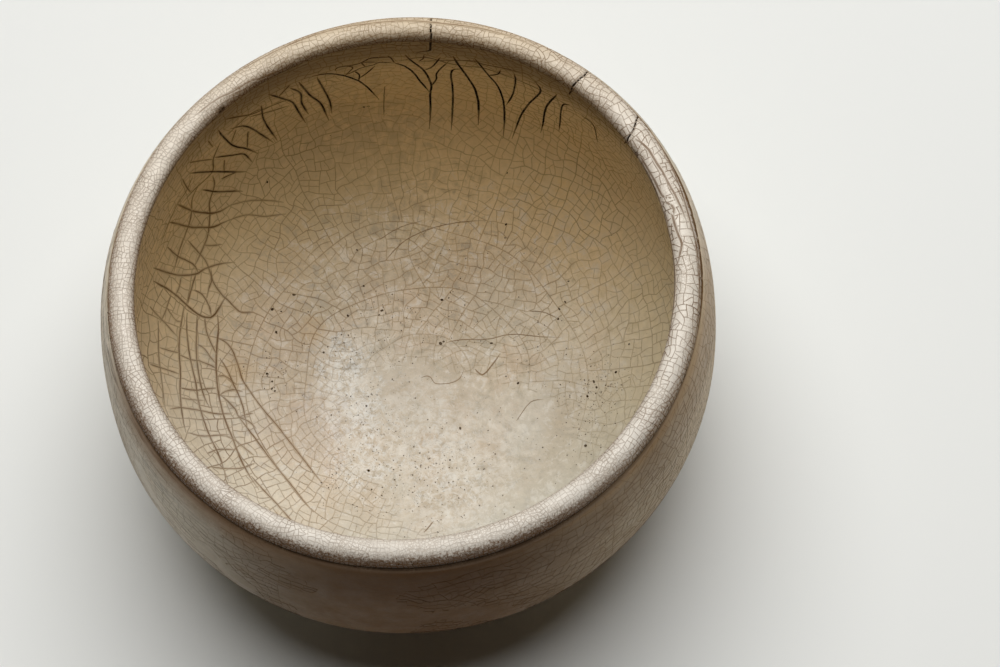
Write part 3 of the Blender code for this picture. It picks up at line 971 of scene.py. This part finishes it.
# (width in millimetres, then points of azimuth and millimetres down the wall from the mouth)
FAR_CRACKS = (
    (0.8, (84.8, 1), (85.4, 17), (85.7, 21), (86.8, 22), (88.8, 24)),
    (0.75, (91, 25.5), (89.8, 31), (87.4, 40), (86.4, 49), (86.2, 54), (86.6, 60), (86.7, 70), (87, 78)),
    (0.7, (93.5, 32), (91.3, 36), (89.6, 42), (88.5, 49), (86.6, 59)),
    (0.65, (111, 28.5), (107.5, 31), (104.5, 36), (102, 42), (101, 45), (99.6, 51), (97.6, 62)),
    (0.52, (104.2, 36.5), (102.3, 35), (100.4, 33), (97.7, 32), (96.4, 30.5), (93.5, 32.5)),
    (0.5, (106, 30), (105.4, 28), (103.5, 28.5), (102.2, 31.5), (104, 36.5)),
    (0.52, (103.5, 28.5), (101.4, 29), (99.7, 27.5), (98, 25.5), (94.4, 27)),
    (0.5, (100.3, 28), (99.5, 33)),
    (0.45, (100.3, 28), (96.9, 30)),
    (0.55, (101.8, 35), (101, 39), (101.3, 44)),
    (0.55, (101, 41.5), (99.2, 38), (97.5, 33)),
    (0.5, (94.6, 25.5), (93.9, 28), (93.4, 32)),
    (0.45, (87, 25.5), (87.3, 29), (88.3, 32)),
    (0.59, (87.2, 39.5), (85.5, 36), (83.6, 27)),
    (0.6, (86.1, 53), (85, 47), (84.6, 41), (81.9, 30)),
    (0.7, (79.5, 36), (81.2, 37.5), (81.8, 43), (81.7, 53), (81.9, 69), (82, 78)),
    (0.85, (80.9, 25), (79.9, 32.5), (78.5, 41), (77.1, 50), (76.5, 58), (76.2, 67), (76, 74)),
    (0.75, (76.2, 24), (75, 30), (73.6, 37), (71.9, 44), (70.9, 54), (70.6, 63), (70, 77)),
    (0.59, (73.6, 37), (71.6, 33.5), (70.8, 29)),
    (0.65, (67.8, 28), (67.7, 35), (68.6, 48), (70.2, 59)),
    (0.7, (63, 28), (62, 35), (65, 51), (67, 64), (68, 76)),
    (0.7, (58, 30), (61, 48), (62, 68)),
    (0.6, (51.2, 2), (54.2, 19), (54.9, 24)),
    (0.6, (55, 33), (57, 39), (58, 62)),
    (0.45, (52, 36), (49, 37), (48, 50)),
    (0.7, (34.2, 1), (38, 18), (39.9, 28)),
    (0.33, (96, 52), (97, 72)),
    (0.34, (92.4, 31), (87, 28), (82, 32), (78, 32.5), (74.8, 31), (69.9, 32.5), (64, 33.5), (56, 35)),
    (0.34, (88, 32), (81.9, 29.5), (76.5, 26.5), (73.6, 27.5), (64, 23.5)),
)
LEFT_CRACKS = (
    (0.65, (110, 31), (109, 42), (108, 55), (108, 64)),
    (0.7, (114, 29), (112, 44), (110, 54), (109, 67)),
    (0.7, (116, 31), (114, 39), (114, 48), (113, 59)),
    (0.7, (121, 27), (118, 37), (116, 44), (115, 54), (114, 64)),
    (0.52, (116, 28), (119, 34)),
    (0.65, (123, 33), (123, 45), (122, 57), (121, 66)),
    (0.65, (131, 35), (128, 40), (126, 47), (124, 57), (122, 66)),
    (0.65, (134, 28), (133, 37), (131, 50), (128, 60), (126, 67)),
    (0.52, (127, 47), (128, 60)),
    (0.6, (136, 47), (132, 56), (129, 62), (128, 69)),
    (0.65, (143, 40), (138, 54), (135, 62), (132, 68), (130, 71)),
    (0.52, (132, 68), (136, 65)),
    (0.55, (141, 61), (138, 69), (133, 77)),
    (0.5, (134, 39), (136.5, 47), (137.7, 56), (144, 54.5), (147, 54)),
    (0.52, (131.7, 24), (126, 34.5), (123, 37), (118, 39.5), (116, 41)),
    (0.45, (126, 36.5), (121.4, 42), (116.8, 45.5)),
    (0.39, (132, 38), (126, 34.5), (122.4, 36.5)),
    (0.45, (142.8, 31), (136.6, 47)),
    (0.39, (129.7, 39), (131.4, 46.5)),
    (0.39, (145.6, 36.5), (145, 45.5), (144, 54.5)),
    (0.39, (133.8, 55), (134.8, 64)),
    (0.33, (137, 29), (136, 38)),
)
BROWN_CRACKS = (
    (0.62, (148.5, 50), (145.4, 65), (142.5, 73), (140, 76.5), (136.8, 78)),
    (0.28, (137.5, 77.6), (133.6, 81), (130, 85), (126, 90)),
    (0.62, (152, 54), (148.2, 69), (145.7, 75), (143.4, 79), (139.2, 82)),
    (0.28, (140, 81.6), (135.6, 85), (132, 90), (127, 94)),
    (0.46, (142.6, 44), (145.2, 49), (148.2, 50), (151.7, 53), (157, 59)),
    (0.52, (141, 54), (144, 59), (145.5, 65), (148, 69), (153, 72), (158, 75)),
    (0.52, (137.5, 59), (138, 65), (141, 70), (142.4, 74), (145.7, 79), (149.7, 81), (154.5, 82)),
    (0.57, (161, 62), (158.8, 73), (157.2, 79), (154.7, 84), (152.3, 86), (148.8, 90), (146, 94)),
    (0.63, (163, 66), (162, 75), (162, 81), (162.6, 86), (163.2, 91), (162.8, 95), (160.9, 97), (154, 98)),
    (0.52, (155, 65), (154.5, 73), (153.4, 81), (154.4, 85)),
    (0.46, (150.2, 73), (150.4, 80), (150.9, 85), (153.3, 90), (156, 91), (158.2, 92)),
    (0.4, (148.3, 80), (147, 83), (144.9, 86)),
    (0.46, (158.3, 86), (158.2, 90), (160, 94), (162, 96)),
    (0.52, (155, 84), (158.6, 85), (162.4, 86)),
    (0.46, (157.8, 79), (159.7, 80), (161.6, 80)),
    (0.46, (151.5, 88), (153.7, 91), (155.3, 96), (156, 100), (157, 105), (155, 109)),
    (0.4, (168, 69), (168.8, 77), (169.8, 82), (170.8, 86)),
    (0.34, (162.5, 78), (166.6, 78), (169.7, 77)),
    (0.34, (165.7, 78), (167.3, 84), (166.6, 86)),
    (0.57, (163.4, 85), (167.2, 86), (172, 87), (179, 89), (184, 89), (188, 89), (191, 89), (195, 89)),
    (0.52, (164.2, 87), (168.4, 89), (174.3, 92), (180.6, 95), (186, 96), (191, 97), (196, 98), (202, 99),
     (210, 98)),
    (0.52, (163.5, 91), (168.4, 93), (172, 94), (178, 96), (184, 98), (188, 100)),
    (0.46, (163.2, 94), (166.3, 96), (169.3, 99), (172, 102)),
    (0.57, (160.9, 98), (164.5, 100), (168.5, 101), (174, 102), (180, 103), (186, 104), (192, 105),
     (198, 106),
     (204, 106), (210, 106), (216, 106)),
    (0.46, (167.2, 101), (167.5, 104), (169.5, 107), (174, 110), (178.5, 112), (184, 116)),
    (0.46, (172.6, 103), (175.5, 106), (180.4, 109), (184.6, 111), (189.4, 112), (196, 112)),
    (0.46, (184, 104), (185.1, 106), (188.4, 109), (191, 110), (193, 113), (196, 115)),
    (0.4, (169.5, 76), (174, 78), (177, 79), (182.6, 81), (190, 82)),
    (0.34, (175.2, 79), (174.8, 85), (174.5, 88)),
    (0.4, (180, 75), (179.7, 82), (179.8, 89)),
    (0.4, (175, 88), (175.3, 93), (175, 96), (175.6, 101), (176.5, 103)),
    (0.46, (183.3, 89), (183.3, 95), (182.5, 99), (181.8, 103)),
    (0.46, (189.3, 84), (188.5, 89), (188.8, 96), (189.8, 103), (189.6, 108)),
    (0.4, (195, 90), (196, 95), (196.2, 101), (196.4, 105)),
    (0.4, (201, 95), (200.4, 100), (201.6, 106)),
    (0.4, (170.7, 94), (171.3, 97), (173.3, 100), (174.5, 102)),
    (0.34, (184, 104), (182.7, 106), (182, 109), (182.4, 112)),
    (0.4, (204.8, 94), (206.2, 99), (207.6, 105), (207.5, 110)),
    (0.34, (191, 110), (190.2, 115)),
    (0.34, (178.3, 103), (177.9, 106), (180.3, 110)),
    (0.34, (185.9, 89), (186, 94), (185.9, 98)),
    (0.44, (211, 106.5), (216, 107.2), (223, 107.6), (230, 106.6), (236, 105)),
    (0.42, (190, 109.5), (198.7, 113.4), (208, 115.5), (218.4, 116.4), (226, 115.6), (233, 114.3)),
    (0.36, (179.4, 112.8), (187.5, 117.7), (196, 121.9), (203, 123.8), (210.7, 125), (219, 125.2),
     (228, 124.5)),
    (0.34, (196.9, 104), (198, 106), (200.3, 108), (205, 111)),
)
FLOOR_CRACKS = (
    (0.5, (17, 151), (10, 149), (16, 145), (22, 141)),
    (0.3, (67, 168), (43, 166), (10, 165), (8, 158), (23, 154)),
    (0.25, (339, 135), (345, 134), (351, 132), (353, 128)),
    (0.3, (58, 153), (37, 144), (30, 135), (23, 127), (19, 120)),
    (0.3, (35, 125), (31, 121), (26, 118)),
    (0.3, (104, 124), (95, 118), (86, 114), (78, 111), (67, 107)),
    (0.25, (104, 116), (96, 113), (88, 111)),
    (0.4, (273, 118), (277, 122)),
)
# Long lines on the right of the lip, down meaning outwards past the mouth where it is negative
LIP_LINES = (
    (0.8, (45, -15), (36, -14.6), (28, -14.5), (20, -14.6), (11, -14.5), (0, -14.5), (350, -14.6)),
    (0.72, (36, -14), (31, -12.3), (27, -11.4), (23, -10.6), (19, -10), (13, -9.6), (8, -10.4),
     (2, -10.8), (352, -11)),
    (0.72, (33, -4), (31.5, -5), (29.4, -5.6), (26.8, -5.6), (23.8, -6), (20.8, -6.3), (17.8, -7),
     (12.3, -8)),
    (0.72, (29.3, -2), (26.7, -2), (24, -2.2), (21, -2.4), (18.9, -3), (18, -5), (17.7, -7)),
    (0.72, (18.3, -1.5), (16.9, -4), (15.4, -5), (14.2, -4), (11.9, -4), (10, -4.3), (7.7, -5),
     (5.8, -4.2), (3, -2.6)),
    (0.8, (30, -0.8), (24.4, -0.7), (18, -0.4), (12, -0.2), (6, -0.6), (0, -1), (352, -0.8), (344, -0.6)),
    (0.43, (118, -12), (108, -11.6), (98, -12), (88, -11.4), (80, -11.8), (70, -11.6), (60, -12),
     (52, -11.8)),
    (0.43, (128, -9), (118, -8.4), (108, -8.8), (98, -8), (90, -7.8), (82, -7.2), (72, -7.8), (62, -7.6)),
    (0.43, (140, -6), (134, -5), (130, -3.6), (126, -3.2), (122, -1.6), (117, -0.8)),
)


def smooth_route(points, rng, shake=0.03):
    """Given points (azimuth, down) as a wavering curve through them, in radians and runs."""
    flat = []
    for azimuth, down in points:
        if flat and azimuth - flat[-1][0] > 180:
            azimuth -= 360
        flat.append((azimuth, MOUTH_RUN - down))
    scale = math.radians(radius_at(sum(r for _, r in flat) / len(flat)))
    flat = [(a * scale, r) for a, r in flat]
    ends = [(2 * flat[0][0] - flat[1][0], 2 * flat[0][1] - flat[1][1])]
    knots = ends + flat + [(2 * flat[-1][0] - flat[-2][0], 2 * flat[-1][1] - flat[-2][1])]
    route = []
    for k in range(1, len(knots) - 2):
        p0, p1, p2, p3 = knots[k - 1:k + 3]
        steps = max(2, round(math.dist(p1, p2) / 1.1))
        for i in range(steps + (k == len(knots) - 3)):
            u = i / steps
            across, along = (0.5 * (2 * b + (c - a) * u + (2 * a - 5 * b + 4 * c - d) * u * u
                                    + (3 * b - a - 3 * c + d) * u ** 3) for a, b, c, d in zip(p0, p1, p2, p3))
            route.append((across + rng.gauss(0, shake), along + rng.gauss(0, shake)))
    return [(math.radians(a / scale), r) for a, r in route]


# name: (lines, how dark, whether a soft brown stain runs along them)
PLACED = {
    "open_cracks_far_wall": (FAR_CRACKS, 1.0, False),
    "open_cracks_left_wall": (LEFT_CRACKS, 0.97, True),
    "brown_crazing_left_wall": (BROWN_CRACKS, 0.82, True),
    "hairlines_on_floor": (FLOOR_CRACKS, 0.75, False),
    "long_lines_on_lip": (LIP_LINES, 0.76, True),
}


def stain_style(width, azimuth, run, u):
    return (width + 0.75) * min(1.0, 0.3 + 4 * u, 0.3 + 4 * (1 - u)), 0.2


def placed_cracks(dirt):
    rng = random.Random(7)
    pieces = []
    for name, (lines, dark, stained) in PLACED.items():
        cracks = [(smooth_route(line[1:], rng), line[0]) for line in lines]

        def style(width, azimuth, run, u, dark=dark):
            taper = min(1.0, 0.45 + 6 * u) * min(1.0, 0.25 + 4.5 * (1 - u))
            uneven = rng.uniform(0.93, 1.06)
            return width * taper * uneven, dark * (0.5 + 0.5 * taper) * min(1.0, 0.72 + 0.4 * width)

        pieces.append(dirt_lines(name, cracks, style, dirt, lift=0.035, depth=0.3))
        if stained:
            pieces.append(dirt_lines("stain_" + name, cracks, stain_style, dirt, lift=0.012))
    return pieces


# Cracks through the lip, chips, pits and specks

# name: (azimuth, millimetres outwards from the mouth) along each crack, as the part has it
LIP_CRACKS = {
    "far": ((84.7, -4), (84.8, 1), (85.0, 4), (85.2, 8), (85.2, 12)),
    "middle": ((51.6, -4), (51.2, 0), (50.9, 2), (50.5, 6), (51.3, 12)),
    "right": ((34.8, -4), (34.0, 1), (34.6, 4), (35.6, 6), (38.6, 12)),
}
LIP_CRACK_WIDTH = 0.6
LIP_CRACK_DEPTH = 6.3
# (azimuth, radius of the bite, how deep it goes), on the mouth's edge
CHIPS = ((30.4, 1.5, 0.65), (134.4, 1.7, 0.75))
# (azimuth, down, radius) of the dark pits that the photograph shows one by one
PITS = (
    (142, 117, 0.63), (151, 114, 0.50), (158, 119, 0.42), (150, 117, 0.28), (127, 80, 0.42), (159, 137, 0.39),
    (133, 136, 0.46), (114, 141, 0.49), (117, 142, 0.35), (175, 120, 0.46), (178, 122, 0.38),
     (181, 122, 0.50),
    (182, 123, 0.35), (176, 124, 0.31), (101, 65, 0.42), (100, 65, 0.35), (67, 89, 0.35), (62, 106, 0.39),
    (35, 108, 0.31), (113, 117, 0.35), (117, 130, 0.35), (75, 139, 0.42), (63, 154, 0.70), (61, 153, 0.42),
    (31, 142, 0.46), (29, 116, 0.46), (30, 113, 0.39), (26, 118, 0.42), (314, 150, 0.53), (1, 137, 0.42),
    (338, 109, 0.53), (0, 111, 0.53), (358, 110, 0.45), (355, 113, 0.50), (2, 103, 0.50), (202, 153, 0.42),
    (9, 97, 0.42), (293, 142, 0.35), (242, 137, 0.42),
)
# (azimuth, down, spread in millimetres, how many) of clusters of dark specks inside
SPECKS = (
    (70, 145, 17, 150), (175, 121, 6, 40), (150, 150, 14, 120), (215, 152, 14, 170), (262, 142, 15, 190),
    (300, 140, 16, 120), (358, 108, 10, 170), (345, 112, 14, 120), (118, 142, 9, 60), (232, 128, 12, 80),
    (10, 130, 20, 90), (160, 125, 20, 70), (280, 120, 18, 110), (60, 120, 20, 40),
)


def lip_crack_cutter(points):
    """A thin wall of slot along a crack, standing through the lip's height."""
    cutter = bmesh.new()
    rng = random.Random(len(points))
    route = []
    for (a0, d0), (a1, d1) in zip(points, points[1:]):
        for k in range(5):
            u = k / 5
            shake = rng.gauss(0, 0.05)
            route.append((a0 + (a1 - a0) * u + shake, d0 + (d1 - d0) * u))
    route.append(points[-1])
    low, high = CREST_Z - LIP_CRACK_DEPTH, CREST_Z + 2
    corners = []
    for azimuth, out in route:
        turn, r = math.radians(azimuth), MOUTH_RADIUS + out
        corners.append(cutter.verts.new((r * math.cos(turn) * MM, r * math.sin(turn) * MM, low * MM)))
    edges = [cutter.edges.new(pair) for pair in zip(corners, corners[1:])]
    tops = corners_of(bmesh.ops.extrude_edge_only(cutter, edges=edges))
    bmesh.ops.translate(cutter, vec=(0, 0, (high - low) * MM), verts=tops)
    bmesh.ops.recalc_face_normals(cutter, faces=cutter.faces)
    bmesh.ops.solidify(cutter, geom=cutter.faces[:], thickness=LIP_CRACK_WIDTH * MM)
    bmesh.ops.recalc_face_normals(cutter, faces=cutter.faces)
    return as_mesh("lip_crack_cutter", cutter)


def chip_cutter(azimuth, radius, depth):
    """A lumpy ball that bites the mouth's edge."""
    ball = bmesh.new()
    bmesh.ops.create_icosphere(ball, subdivisions=3, radius=radius * MM)
    centre, outward = on_pot(math.radians(azimuth), MOUTH_RUN + 0.6, radius - depth)
    for vertex in ball.verts:
        vertex.co *= 1 + 0.22 * noise.noise(vertex.co / (0.7 * MM))
        vertex.co += Vector(centre)
    return as_mesh("chip_cutter", ball)


def cut(piece, cutter_mesh, dirt):
    """Takes the cutter's shape out of the piece and paints the faces it leaves with dirt."""
    cutter = new_piece(cutter_mesh.name, cutter_mesh, dirt)
    boolean = piece.modifiers.new("cut", "BOOLEAN")
    boolean.operation = "DIFFERENCE"
    boolean.solver = "EXACT"
    boolean.material_mode = "TRANSFER"
    boolean.object = cutter
    settle(piece)
    bpy.data.objects.remove(cutter)
    bpy.data.meshes.remove(cutter_mesh)


def blobs(name, spots, dirt, sides):
    """Flat lumps of dirt in pits and pores: (azimuth in radians, run, radius, thickness) each."""
    rng = random.Random(len(spots))
    azimuths, runs = [spot[0] for spot in spots], [spot[1] for spot in spots]
    places, outward = on_pot(np.array(azimuths), np.array(runs), 0.025)
    lumps = bmesh.new()
    number = lumps.verts.layers.int.new("number")
    for k, (azimuth, run, radius, _) in enumerate(spots):
        stand = Vector(outward[k]).to_track_quat("Z", "X") @ Euler((0, 0, rng.uniform(0, 3))).to_quaternion()
        wide, narrow = radius * rng.uniform(0.9, 1.3) * MM, radius * rng.uniform(0.7, 1.05) * MM
        corners = []
        for i in range(sides):
            turn = 2 * math.pi * i / sides
            lumpy = rng.uniform(0.85, 1.15)
            corner = Vector((math.cos(turn) * wide * lumpy, math.sin(turn) * narrow * lumpy, 0))
            corners.append(lumps.verts.new(Vector(places[k]) + stand @ corner))
            corners[-1][number] = k
        lumps.faces.new(corners)
    for vertex in corners_of(bmesh.ops.extrude_face_region(lumps, geom=lumps.faces[:])):
        k = vertex[number]
        vertex.co = Vector(places[k]).lerp(vertex.co, 0.8) - Vector(outward[k]) * spots[k][3] * MM
    bmesh.ops.recalc_face_normals(lumps, faces=lumps.faces)
    marks = [runs[vertex[number]] for vertex in lumps.verts]
    mesh = as_mesh(name, lumps)
    mesh.attributes.remove(mesh.attributes["number"])
    store(mesh, "run", marks)
    store(mesh, "dark", [0.95] * len(marks))
    return new_piece(name, mesh, dirt)


def pits_and_specks(dirt):
    rng = random.Random(11)
    pits = [(math.radians(azimuth), MOUTH_RUN - down, radius, 0.12) for azimuth, down, radius in PITS]
    specks = []
    for azimuth, down, spread, count in SPECKS:
        run = MOUTH_RUN - down
        for _ in range(count):
            x = run * math.cos(math.radians(azimuth)) + rng.gauss(0, spread * 0.55)
            y = run * math.sin(math.radians(azimuth)) + rng.gauss(0, spread * 0.55)
            size = 0.09 + 0.17 * rng.random() ** 3
            specks.append((math.atan2(y, x), math.hypot(x, y), size, 0.05))
    for _ in range(900):
        azimuth = rng.uniform(0, 2 * math.pi)
        run = (MOUTH_RUN - 30) * math.sqrt(rng.random())
        specks.append((azimuth, run, 0.06 + 0.10 * rng.random() ** 3, 0.05))
    for _ in range(2600):
        azimuth = math.radians(rng.uniform(115, 345))
        outer = CREASE_RUN - abs(rng.gauss(0.3, 2.2))
        edge = rng.choice((MOUTH_RUN + rng.gauss(-0.5, 1.0), outer, outer))
        if patchiness(azimuth, edge, 9, 5.2) > rng.uniform(0.35, 0.8):
            specks.append((azimuth, edge, 0.09 + 0.2 * rng.random() ** 4, 0.05))
    return [blobs("dirt_in_pits", pits, dirt, 12), blobs("dark_specks", specks, dirt, 6)]


camera()
stage()
bowl = glazed_bowl()
glaze = glaze_material()
dirt = dirt_material()
bowl.data.materials.append(glaze)
for points in LIP_CRACKS.values():
    cut(bowl, lip_crack_cutter(points), dirt)
for chip in CHIPS:
    cut(bowl, chip_cutter(*chip), dirt)
finish_bowl(bowl.data)
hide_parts("bowl")
pieces = [bowl] + fine_crazing(dirt) + placed_cracks(dirt) + pits_and_specks(dirt)
for piece in pieces:
    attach(piece, "root")

bpy.context.scene.view_settings.view_transform = "Standard"
